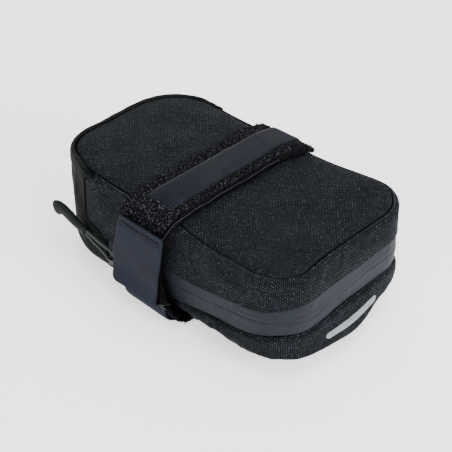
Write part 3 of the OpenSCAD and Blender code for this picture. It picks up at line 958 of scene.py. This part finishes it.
def zip_coil(name, side):
    """One of the zip's two coils, wound along the tape's inner side."""
    start = left_s(ZIP_END_X + 3.4)
    turns = int((ROUND - 2 * start) / COIL_PITCH)
    t = np.linspace(0, turns, turns * 9)
    s = start + t * COIL_PITCH + (0 if side > 0 else COIL_PITCH / 2)
    w = 2 * math.pi * t
    z = zip_z(outline(s)[0]) + side * (1.42 + 0.98 * np.cos(w))
    out = -2.35 + 0.78 * np.sin(w)
    return tube(name, wall(s, up_to(z), out), 0.24, 5, NYLON)


# ---- Strap ----

LOOP_T = 1.6
BAND_WIDTH = 35
STRIP_WIDTH = 17
STRIP_T = strip_high[2] - band_high[2]


def rounded(points, step):
    """A path through [y, z, radius] corners with an arc at each, sampled at even steps."""
    points = [np.array(q, float) for q in points]
    path = [points[0][:2]]
    for a, b, c in zip(points, points[1:], points[2:]):
        u, v = a[:2] - b[:2], c[:2] - b[:2]
        u, v = u / np.linalg.norm(u), v / np.linalg.norm(v)
        half = math.acos(np.clip(u @ v, -1, 1)) / 2
        reach = b[2] / math.tan(half)
        centre = b[:2] + (u + v) / np.linalg.norm(u + v) * b[2] / math.sin(half)
        start, end = b[:2] + u * reach - centre, b[:2] + v * reach - centre
        turn = math.pi - 2 * half
        way = 1 if start[0] * end[1] - start[1] * end[0] > 0 else -1
        for w in np.linspace(0, way * turn, max(3, int(turn * b[2] / 0.4) + 2)):
            spin = np.array([[math.cos(w), -math.sin(w)], [math.sin(w), math.cos(w)]])
            path.append(centre + spin @ start)
    path.append(points[-1][:2])
    path = np.array(path)
    along = lengths(path)
    even = np.linspace(0, along[-1], int(along[-1] / step) + 2)
    return np.stack([np.interp(even, along, path[:, k]) for k in range(2)], axis=-1), even


def sideways(path, closed=False):
    """Unit vectors to the left of a path's course, which is away from the bag."""
    if closed:
        run = np.roll(path, -1, 0) - np.roll(path, 1, 0)
    else:
        run = np.gradient(path, axis=0)
    run /= np.linalg.norm(run, axis=1, keepdims=True)
    return np.stack([-run[:, 1], run[:, 0]], axis=-1)


# The strap's course: y and z of its straight runs, then its corners as y, z and radius

LEFT_Y = band_low[1] + LOOP_T
RIGHT_Y = band_high[1] - LOOP_T
LOW_Z = band_low[2] + LOOP_T
TOP_Z = band_high[2] - LOOP_T
TOP_TURN = (HALF_W - 12, TOP_Z, 30)
RIGHT_SHOULDER = (RIGHT_Y + 1.7, SEAM_Z + 0.7, 2.5)
RIGHT_FOOT = (RIGHT_Y, LOW_Z, 1.2)
LEFT_FOOT = (LEFT_Y, LOW_Z, 8)
LEFT_SHOULDER = (LEFT_Y, SEAM_Z - 8.5, 10)
LEFT_BROW = (-HALF_W - 0.4, SEAM_Z + 1.2, 3)
LEFT_TURN = (12 - HALF_W, TOP_Z, 30)


def lay(path, across, lift, x_low, x_high, closed=False):
    """A grid of points over a strap that follows path, lift off its inner face."""
    normal = sideways(path, closed)
    x_low = np.broadcast_to(x_low, len(path))[:, None]
    x_high = np.broadcast_to(x_high, len(path))[:, None]
    x = x_low + across[None, :] * (x_high - x_low)
    return stacked(x, path[:, :1] + normal[:, :1] * lift, path[:, 1:] + normal[:, 1:] * lift)


def from_edge(across, width):
    """Distance from the nearer edge of a strap of that width."""
    return np.minimum(across, 1 - across)[None, :] * width


BAND_MARGIN = 3.4  # loop-free strip along the band's front edge


def band_edges(y, z):
    """The band's two edges, which wander a little and draw in where the strap hangs."""
    half = (band_high[0] - band_low[0] - 1) / 2
    hanging = smooth(SEAM_Z + 1, SEAM_Z - 8, z) * smooth(-2, 14, z)
    low = -half - 1.0 * hanging
    high = half - 6.5 * hanging * smooth(4, 26, z) - 2.0 * hanging
    high = high + 2.4 * (1 - smooth(2, 12, z)) * smooth(-30, -44, y)
    high = high - 2.6 * smooth(20, 50, z) * smooth(42, 18, y) * (1 - hanging)
    return low, high


def loop_band():
    """The looped band, right round the bag, with an uneven surface and ragged edges."""
    ring = [(0, TOP_Z, 0), TOP_TURN, RIGHT_SHOULDER, RIGHT_FOOT, LEFT_FOOT]
    ring += [LEFT_SHOULDER, LEFT_BROW, LEFT_TURN, (0, TOP_Z, 0)]
    path = rounded(ring, 0.5)[0][:-1]
    along = lengths(path)[:, None]
    low, high = band_edges(path[:, 0], path[:, 1])
    ragged = np.random.default_rng(3).normal(size=(2, len(path))) * 0.22
    low, high = low + ragged[0], high + ragged[1]
    across = spread(64, 0.3)
    body = LOOP_T * (0.55 + 0.45 * (1 - np.exp(-from_edge(across, BAND_WIDTH) / 0.8)))
    lift = body + 0.16 * np.random.default_rng(4).normal(size=(len(path), len(across)))
    grid = lay(path, across, lift, low, high, closed=True)
    uv = stacked(along, across * BAND_WIDTH)
    return slab("loop_band", grid, 1.35, uv, [PILE], closed=True, flip=True), path, low, high


def loops(path, low, high):
    """Small standing loops of yarn over the band's outer face."""
    own = np.random.default_rng(5)
    normal = sideways(path)
    seen = (path[:, 1] > 3)
    count, steps, sides = 8200, 5, 3
    at = own.choice(len(path), count, p=seen / seen.sum())
    share = own.uniform(0.0, 1.0, count)
    margin = BAND_MARGIN * smooth(SEAM_Z - 4, SEAM_Z, path[at, 1]) * smooth(42, 30, path[at, 0])
    x = low[at] + share * (high[at] - margin - low[at])
    up = stacked(0 * x, normal[at, 0], normal[at, 1])
    base = stacked(x, path[at, 0], path[at, 1]) + up * (LOOP_T - 0.15)
    way = own.normal(size=(count, 3))
    way -= up * np.sum(way * up, axis=1, keepdims=True)
    way /= np.linalg.norm(way, axis=1, keepdims=True)
    lean = own.normal(size=(count, 3)) * 0.18
    span = own.uniform(0.22, 0.5, count)[:, None]
    tall = own.uniform(0.3, 0.65, count)[:, None]
    side = np.cross(way, up)
    thick = own.uniform(0.07, 0.12, count)[:, None]
    vertices = []
    for t in (-1, -0.55, 0, 0.55, 1):
        middle = base + way * span * t + (up * tall + lean) * (1 - t * t)
        for turn in (0, 2.1, 4.2):
            vertices.append(middle + thick * (math.cos(turn) * side + math.sin(turn) * up))
    vertices = np.stack(vertices, axis=1).reshape(-1, 3)
    first = np.arange(count)[:, None, None] * steps * sides
    faces = (first + tube_quads(steps, sides)).reshape(-1, 4).tolist()
    return new_object("loop_pile_yarns", vertices, faces, None, [PILE])


def grip_strip():
    """Ribbed strip on the band, with its ribs crossing it and creases near its sewn end."""
    points = [(strip_low[1], TOP_Z - 1, 0), LEFT_TURN, TOP_TURN, RIGHT_SHOULDER, (RIGHT_Y, strip_low[2], 0)]
    path, along = rounded(points, 0.17)
    along = along[:, None]
    across = spread(15, 0.5)
    slant = (across[None, :] - 0.5) * 1.6
    wander = 1.6 * np.sin(along / 7.0 + across[None, :] * 2.6)
    crease = np.exp(-along / 24)
    ribs_along = along + slant + wander * crease
    edge = from_edge(across, STRIP_WIDTH)
    rib = (0.09 + 0.14 * crease) * np.cos(ribs_along * 2 * math.pi / RIB_PITCH) * (1 - np.exp(-edge / 0.7))
    end = 0.8 * np.exp(-along / 1.6)
    lift = LOOP_T + STRIP_T * 0.85 + rib - end - 0.25 * np.exp(-edge / 0.5)
    lift = lift + 0.12 * np.sin(along / 5.5) * crease
    grid = lay(path, across, lift, strip_low[0] + 0.4, strip_high[0] - 0.3)
    uv = stacked(ribs_along, across * STRIP_WIDTH)
    return slab("grip_strip", grid, STRIP_T * 0.9, uv, [RIBS], flip=True), path


def under_strip():
    """Coated strip sewn over the band under the bag and a little way up its left side."""
    course = [(RIGHT_Y, under_high[2] - 1.5, 0), RIGHT_FOOT, LEFT_FOOT, (LEFT_Y, under_high[2], 0)]
    path, along = rounded(course, 0.6)
    across = spread(15, 0.5)
    foot = np.hypot(path[:, 0] - LEFT_Y, path[:, 1] - LOW_Z)[:, None]
    lift = LOOP_T + 0.96 - 0.25 * np.exp(-from_edge(across, 29) / 0.5) + 1.2 * hump(foot - 2, 7)
    grid = lay(path, across, lift, under_low[0] + 0.6, under_high[0])
    grid[..., 2] = np.maximum(grid[..., 2], 0.05)
    return slab("under_strip", grid, 0.9, stacked(along[:, None], across * 29), [STRAP], flip=True), path


# ---- Pull tab ----

TAB_LOW_Z = tab_low[2]
TAB_FOLD_Z = tab_high[2]
HEM_TOP_Z = hem_high[2] - 1.8
TAB_LIFT = 3.3  # the tab's outer face, off the band's inner one


def tab_path():
    """The tab's course in y and z, from its free end to its sewn end."""
    brow = [LEFT_SHOULDER[k] + 0.45 * (LEFT_BROW[k] - LEFT_SHOULDER[k]) for k in range(2)]
    course = [(LEFT_Y - 1.5, TAB_LOW_Z + 1.0, 0), (LEFT_Y, 19, 40), LEFT_SHOULDER, (*brow, 0)]
    return rounded(course, 0.45)


def soft_line(x, at, values):
    """Values joined by straight lines with rounded bends."""
    blur = 2.5
    near = [np.interp(x + shift, at, values) for shift in np.linspace(-blur, blur, 9)]
    return np.mean(near, axis=0)


def tab_edges(z):
    """The tab's rear and front edges at height z, with rounded lower corners."""
    heights = [TAB_LOW_Z, 26, TAB_FOLD_Z, SEAM_Z]
    edges = []
    for side, radius, values in ((-1, 2.6, [-22.0, -22.5, -17.4, -14.0]), (1, 2.5, [8.2, 9.3, 12.6, 13.2])):
        below = np.maximum(radius - (z - TAB_LOW_Z - 1.0), 0)
        corner = radius - np.sqrt(np.maximum(radius ** 2 - below ** 2, 0))
        edges.append(soft_line(z, heights, values) - side * corner)
    return edges


def tab_sheet(name, lift, thick, material, z_top, margin=0.0, flare=0.0):
    """A layer of the tab, lift off the band's inner face, up to z_top, where its edge stands out by flare."""
    path, along = tab_path()
    keep = path[:, 1] <= z_top
    path, along = path[keep], along[keep]
    z = path[:, 1:]
    low, high = tab_edges(path[:, 1])
    across = spread(27, 0.6)
    stitch = z - (TAB_FOLD_Z + 2.2)
    curl = 2.0 * (across[None, :] - 0.45) ** 2 * smooth(TAB_FOLD_Z, TAB_LOW_Z, z)
    height = lift + curl - 0.22 * np.exp(-from_edge(across, 28) / 0.4) - 0.1 * hump(stitch, 0.7)
    height = height + 0.12 * np.sin(z / 5.0 + across[None, :] * 3) * smooth(0, 8, -stitch)
    height = height + flare * smooth(-3.2, 0.4, z - z_top)
    grid = lay(path, across, height, low + margin, high - margin)
    return slab(name, grid, thick, stacked(along[:, None], across * 28), [material], flip=True)


def tab_stitches():
    """A row of dark stitches through the tab's hem, each a short bowed tube that dips at both ends."""
    length, gap, steps = 2.3, 1.0, 7
    path, _ = tab_path()
    path = path[path[:, 1] <= HEM_TOP_Z]
    at = int(np.argmin(np.abs(path[-1, 1] - path[:, 1] - 2.7)))
    normal = sideways(path)[at]
    normal = -normal * np.sign(normal[0])
    low, high = tab_edges(path[at, 1])
    x = np.linspace(low + 1.6, high - 1.2, 40)
    y, z = path[at] + normal * (TAB_LIFT + 0.2)
    points = stacked(x, y, z + 0.12 * np.sin(x / 2.5))
    along = lengths(points)
    away = np.array([0, normal[0], normal[1]])
    pieces, at = [], 0.3
    own = np.random.default_rng(len(points))
    while at + length < along[-1]:
        t = at + np.linspace(0, 1, steps) * length * own.uniform(0.88, 1.08)
        line = stacked(*(np.interp(t, along, points[:, k]) for k in range(3)))
        rise = (np.sin(np.linspace(0, math.pi, steps)) * 0.22 - 0.12)[:, None]
        line = line + away * rise + own.normal(size=3) * 0.03
        pieces.append(tube("tab_stitches", line, 0.3, 6, THREAD, squash_way=away))
        at += length + gap
    return joined("tab_stitches", pieces)


def edge_thread(path, x_edge):
    """A pale selvedge thread along the band's front edge, over the top and down the left side."""
    keep = (path[:, 0] < 24) & (path[:, 1] > SEAM_Z - 14)
    run, x = path[keep], x_edge[keep]
    order = np.argsort(run[:, 0] + 0.001 * run[:, 1])
    run, x = run[order], x[order]
    normal = sideways(path)[keep][order]
    even_x = np.convolve(np.pad(x, 12, mode="edge"), np.ones(25) / 25, "valid")
    number = np.arange(len(run))
    wave = 0.22 * np.sin(number / 9.0) + 0.12 * np.sin(number / 3.7)
    points = stacked(even_x - 0.2 + wave, run[:, 0], run[:, 1])
    points[:, 1:] += normal * (LOOP_T + 0.12)
    return tube("edge_thread", points[::3], 0.13, 6, EDGE_THREAD, squash_way=(1, 0, 0))


def fibres(name, middle, scatter, way, count, length, radius, seed):
    """Loose ends of pale yarn, each a thin bent tube that starts about middle and runs about that way."""
    own = np.random.default_rng(seed)
    pieces = []
    for _ in range(count):
        start = np.array(middle) + own.normal(size=3) * scatter
        aim = np.array(way, float) + own.normal(size=3) * 0.45
        aim /= np.linalg.norm(aim)
        bend = np.cross(aim, own.normal(size=3))
        t = np.linspace(0, 1, 12)[:, None]
        reach = length * own.uniform(0.6, 1.25)
        curve = bend * reach * 0.4 * t ** 2 + own.normal(size=3) * 0.25 * np.sin(5 * t)
        line = start + aim * reach * t + curve
        pieces.append(tube(name, line, radius * (1.05 - 0.5 * t[:, 0]), 5, PALE_THREAD))
    return joined(name, pieces)


def loose_fibres():
    """Frayed ends at the ribbed strip, at the strap's foot and at the band's two edges on the right."""
    return joined("loose_fibres", [
        fibres("strip_end", (-1.5, strip_low[1] - 0.4, SEAM_Z + 3.4), (5.0, 0.5, 0.4), (0.2, -0.8, 0.2),
               16, 2.6, 0.1, 81),
        fibres("strap_foot", (10.5, LEFT_Y - 3.2, 12.5), (0.5, 0.3, 0.8), (1.0, -0.15, -0.5),
               5, 6.5, 0.09, 82),
        fibres("band_end", (16.5, 43.5, SEAM_Z + 1.4), (0.8, 1.4, 0.5), (0.8, 0.5, 0.3), 26, 1.5, 0.1, 83),
        fibres("band_rear_end", (-16.5, 40, SEAM_Z + 2.6), (0.6, 3.4, 0.4), (-0.5, 0.5, 0.6),
               22, 1.4, 0.1, 84)])


# ---- Pull ----


def bent(points, count):
    """A smooth curve through given points."""
    points = np.asarray(points, float)
    t = np.linspace(0, len(points) - 1, count)
    padded = np.concatenate([2 * points[:1] - points[1:2], points, 2 * points[-1:] - points[-2:-1]])
    out = []
    for q in t:
        k = min(int(q), len(points) - 2)
        f = q - k
        a, b, c, d = padded[k:k + 4]
        squared, cubed = 2 * a - 5 * b + 4 * c - d, 3 * b - a - 3 * c + d
        out.append(0.5 * (2 * b + (c - a) * f + squared * f ** 2 + cubed * f ** 3))
    return np.array(out)


PULL_Y = (grip_low[1] + grip_high[1]) / 2
SLIDER_X = (slider_low[0] + slider_high[0]) / 2
SLIDER_Z = (slider_low[2] + slider_high[2]) / 2
MOUTH = np.array([cord_low[0] + 0.5, PULL_Y, cord_high[2] - 2.6])  # where the cord enters the grip


def pull_loop():
    """Cord that goes through the slider's bridge, both strands of which run back to the grip."""
    x, y, z = SLIDER_X, PULL_Y, SLIDER_Z
    route = [MOUTH + (-3, 0, 0.4), MOUTH + (2, 0, -2.2), (x - 9, y, z + 0.8), (x - 3.2, y, z - 2.9),
             (x - 0.4, y, z - 2.6), (x, y, z), (x - 0.3, y, z + 2.9), (x - 3.4, y, z + 4.8),
             (x - 9, y, z + 5.4), MOUTH + (2, 0, 0.4), MOUTH + (-3, 0, 1.5)]
    return tube("pull_loop", bent(route, 120), 0.78, 10, CORD)


def pull_grip():
    """Moulded grip: a collar round the cord, a waist and a bent finger with a round tip."""
    tip = np.array([grip_low[0] + 1.8, PULL_Y, MOUTH[2] + 3.2])
    span = tip - MOUTH
    humps = [MOUTH + span * share + (0, 0, rise) for share, rise in ((0.25, 0.6), (0.55, 2.4), (0.78, 2.9))]
    line = bent([MOUTH, *humps, tip], 70)
    t = np.linspace(0, 1, 70)
    collar = 0.5 * hump(t - 0.045, 0.035)
    radius = 2.9 + 0.85 * smooth(0.1, 0.5, t) + 0.35 * smooth(0.7, 0.92, t) + collar
    for at in (0.3, 0.4, 0.5, 0.6, 0.7):
        radius = radius - 0.12 * hump(t - at, 0.012)
    radius = radius * np.sqrt(np.clip(1 - ((t - 0.93) / 0.07).clip(0, 1) ** 2, 0.002, 1))
    radius = radius * np.sqrt(np.clip(1 - ((0.012 - t) / 0.012).clip(0, 1) ** 2, 0.3, 1))
    return tube("pull_grip_moulding", line, radius, 24, RUBBER, flat=0.5)


def reflective_bar():
    """Plain reflective bar with round ends, printed on the front below the zip."""
    length, high = mark_high[1] - mark_low[1], mark_high[2] - mark_low[2]
    middle = ROUND / 2 + (mark_low[1] + mark_high[1]) / 2 - 2.2
    across = (2 * spread(90, 0.4) - 1)[:, None] * length / 2
    over = np.maximum(np.abs(across) - (length - high) / 2, 0)
    tall = np.sqrt(np.maximum((high / 2) ** 2 - over ** 2, 0.02))
    up = np.linspace(-1, 1, 9)[None, :]
    s = middle + across + 0 * up
    z = (mark_low[2] + mark_high[2]) / 2 + 4.1 + up * tall * 0.64
    p = up_to(z)
    top = up_to(lower_edge(s))
    grid = lower_skin(s, p, top, 0.15 + lower_puff(s, p, top))
    grid = grid + normals_of(grid) * 0.22
    return slab("reflective_bar", grid, 0.35, stacked(s, z), [MARK])


# ---- Building the pieces ----


def place(piece, body, slot, *nodes):
    """Fixes a finished piece to its body, or bakes its place for the fold and the tab, and hides the CAD
    nodes that it stands for.
    """
    if body == "fold":
        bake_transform(piece)
    elif body == "tab":
        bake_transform(piece)
    else:
        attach(piece, body)
    if nodes:
        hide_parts(*nodes)
    return piece


def cut(area=None):
    """Takes a sewn sheet's flat area in square millimetres, turns it into square metres and keeps nothing."""
    area = None if area is None else area * MM * MM


def around(x_from):
    """Length round the front between the two sides' places at x_from."""
    return ROUND - 2 * float(left_s(x_from))


def mean_over(x_from, height):
    """Area in square millimetres of a panel round the front whose height depends on x."""
    s = np.linspace(float(left_s(x_from)), ROUND - float(left_s(x_from)), 400)
    return float(np.mean(height(outline(s)[0]))) * around(x_from)


upper = side_panel_upper()
lower = side_panel_lower()
rear = rear_wall()
top = top_pad()
base = base_panel()
liner = base_liner()
tape_below = zip_tape("zip_tape_below", -1, 71)
tape_above = zip_tape("zip_tape_above", 1, 73)
coil_below = zip_coil("zip_coil_below", -1)
coil_above = zip_coil("zip_coil_above", 1)
band, band_path, band_rear_edge, band_front_edge = loop_band()
yarns = loops(band_path, band_rear_edge, band_front_edge)
ribs, rib_path = grip_strip()
under, under_path = under_strip()
tab = tab_sheet("tab_cloth", TAB_LIFT, 0.95, STRAP, HEM_TOP_Z, flare=1.3)
hooks = tab_sheet("tab_hook_face", TAB_LIFT - 1.0, 0.6, HOOKS, TAB_FOLD_Z, margin=0.8)
loop = pull_loop()
grip = pull_grip()
bar = reflective_bar()

hem_row = tab_stitches()
selvedge = edge_thread(band_path, band_front_edge)
frays = loose_fibres()
top_binding = binding("binding_top", ZIP_END_X - 4, SEAM_Z - 12, SEAM_Z - 6.5, 0.0)
low_binding = binding("binding_low", ZIP_END_X + 4, 5.6, 9.6, 1.7)

place(upper, "fold", "body_fabric", "side_gusset_rear", "front_gusset_upper")
place(lower, "bag", "body_fabric", "lower_gusset")
place(rear, "bag", "rear_fabric", "rear_panel")
place(base, "bag", "body_fabric", "bottom_panel")
place(liner, "bag", "board", "bottom_board")
place(tape_below, "bag", "zip_tape", "zip_tape_lower")
place(tape_above, "fold", "zip_tape", "zip_tape_upper_rear", "zip_tape_upper_front")
place(coil_below, "bag", "zip_coil", "zip_coil_lower")
place(coil_above, "fold", "zip_coil", "zip_coil_upper_rear", "zip_coil_upper_front")
place(top, "fold", "body_fabric", "top_panel_rear", "top_panel_front", "top_foam_rear", "top_foam_front")
place(band, "bag", "loop_fabric", "strap_loop_band")
place(yarns, "bag", "loop_fabric")
place(ribs, "bag", "ribbed_strip", "strap_grip_strip")
place(under, "bag", "coated_strip", "strap_underlay")
place(tab, "tab", "coated_strip", "tab_hem", "tab_face")
place(hooks, "strap_tab", "hook_tape", "tab_hook")
place(loop, "zip_pull", "pull_cord", "pull_cord")
place(grip, "zip_pull", "pull_grip", "pull_grip")
place(bar, "bag", "reflective", "reflective_mark")
place(hem_row, "tab", "coated_strip")
place(selvedge, "bag", "loop_fabric")
place(frays, "bag", "loop_fabric")
place(top_binding, "fold", "lining", "binding_top_rear", "binding_top_front")
place(low_binding, "bag", "lining", "binding_bottom")

# Flat areas of the walls above and below the zip, in square millimetres, handed to cut, which keeps nothing

gusset = mean_over(ZIP_END_X - 6, lambda x: SEAM_Z - zip_z(x) - ZIP_HALF + 3)
skirt = mean_over(ZIP_END_X, lambda x: up_to(zip_z(x) - ZIP_HALF))
cut(gusset)
cut(skirt)
cut()
cut()
cut()
cut()
cut()
cut()
cut()
cut()
cut()

# The slider and the stops keep their CAD shape, with rounded edges

for node, material in (("slider_body", PAINT), ("slider_bridge", PAINT), ("zip_stops", STEEL)):
    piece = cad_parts[node]
    piece.data.materials.clear()
    piece.data.materials.append(material)
    bevel = piece.modifiers.new("rounding", "BEVEL")
    bevel.width, bevel.segments = 0.00018, 2


# ---- Floor, light and camera ----


def studio_floor():
    """A wide round sheet that rises in a soft curve at its rim."""
    sides, low = 96, -0.2
    flat_radius, flat_rings, bend_radius = 1500, 24, 900
    turn = np.linspace(0, math.radians(55), 14)[1:]
    reach = np.append(np.linspace(40, flat_radius, flat_rings), flat_radius + bend_radius * np.sin(turn))
    height = low + np.append(np.zeros(flat_rings), bend_radius - bend_radius * np.cos(turn))
    w = np.linspace(0, 2 * math.pi, sides, endpoint=False)
    rings = stacked(reach[:, None] * np.cos(w), reach[:, None] * np.sin(w), height[:, None])
    faces = [(0, 1 + j, 1 + (j + 1) % sides) for j in range(sides)]
    faces += (1 + tube_quads(len(reach), sides)[:, ::-1]).tolist()
    vertices = np.concatenate([[(0, 0, low)], rings.reshape(-1, 3)])
    return new_object("studio_floor", vertices, faces, None, [floor_material()])


def soft_light(name, place_at, size, power):
    """An area light that faces the bag."""
    lamp = bpy.data.lights.new(name, "AREA")
    lamp.shape, lamp.size, lamp.size_y, lamp.energy = "RECTANGLE", size, size * 0.7, power
    thing = bpy.data.objects.new(name, lamp)
    scene.collection.objects.link(thing)
    thing.location = place_at
    thing.rotation_mode = "QUATERNION"
    thing.rotation_quaternion = (Vector((0, 0, 0.03)) - Vector(place_at)).to_track_quat("-Z", "Y")


def studio_light():
    """Four soft lights and a pale sky."""
    soft_light("light_over", (0.1, 0.1, 0.95), 0.9, 8.5)
    soft_light("light_right", (0.95, 0.1, 0.45), 0.7, 15)
    soft_light("light_left", (0.1, -1.0, 0.4), 1.1, 9)
    soft_light("light_back", (-0.9, 0.5, 0.5), 0.8, 5)
    world = bpy.data.worlds.new("studio")
    world.use_nodes = True
    sky = world.node_tree.nodes["Background"]
    sky.inputs["Color"].default_value = (1, 1, 1, 1)
    sky.inputs["Strength"].default_value = 0.5
    scene.world = world


def studio_camera():
    """The camera of the photo: in front of the bag's left corner, looking down at it."""
    place_at = (0.2595, -0.2685, 0.305)
    azimuth, elevation = math.radians(43.8), math.radians(36.9)
    level = math.cos(elevation)
    right = Vector((math.cos(azimuth), math.sin(azimuth), 0))
    back = Vector((math.sin(azimuth) * level, -math.cos(azimuth) * level, math.sin(elevation)))
    turn = Matrix((right, back.cross(right), back)).transposed().to_4x4()
    lens = bpy.data.cameras.new("camera")
    lens.sensor_width, lens.lens = 36, 73.99
    lens.clip_start, lens.clip_end = 0.02, 20
    camera = bpy.data.objects.new("camera", lens)
    camera.matrix_world = Matrix.Translation(place_at) @ turn
    scene.collection.objects.link(camera)
    scene.camera = camera


studio_floor()
studio_light()
studio_camera()
